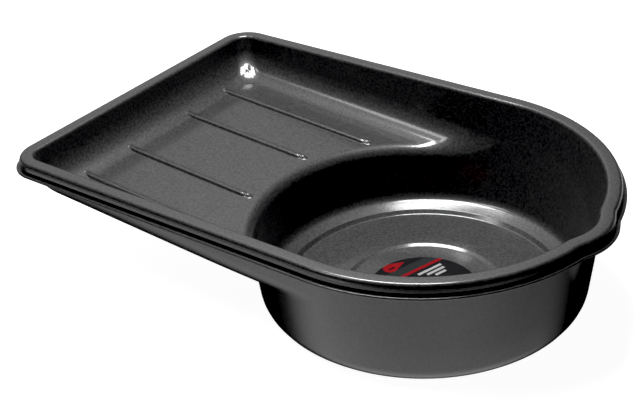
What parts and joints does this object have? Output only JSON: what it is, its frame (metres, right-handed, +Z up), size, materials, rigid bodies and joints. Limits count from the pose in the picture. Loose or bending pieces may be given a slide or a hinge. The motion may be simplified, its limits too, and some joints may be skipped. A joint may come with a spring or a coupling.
{
  "type": "oil drain pan",
  "caption": "Open drain pan with a shallow ribbed tray sloping into a deep round well, a channel rim with an out-turned lip and a pouring spout on the round end.",
  "frame": {"origin": "on the axis of the round well, on the plane the pan stands on", "axes": "+X from the straight tray end to the round end with the spout, +Y across the width, +Z up"},
  "size_m": [0.647, 0.43, 0.15],
  "materials": {
    "pan": "black moulded polyethylene with a fine satin texture",
    "label": "printed adhesive film, black with a red band and a light panel"
  },
  "bodies": {
    "root": {"pan": "pan", "label": "label"}
  },
  "joints": []
}
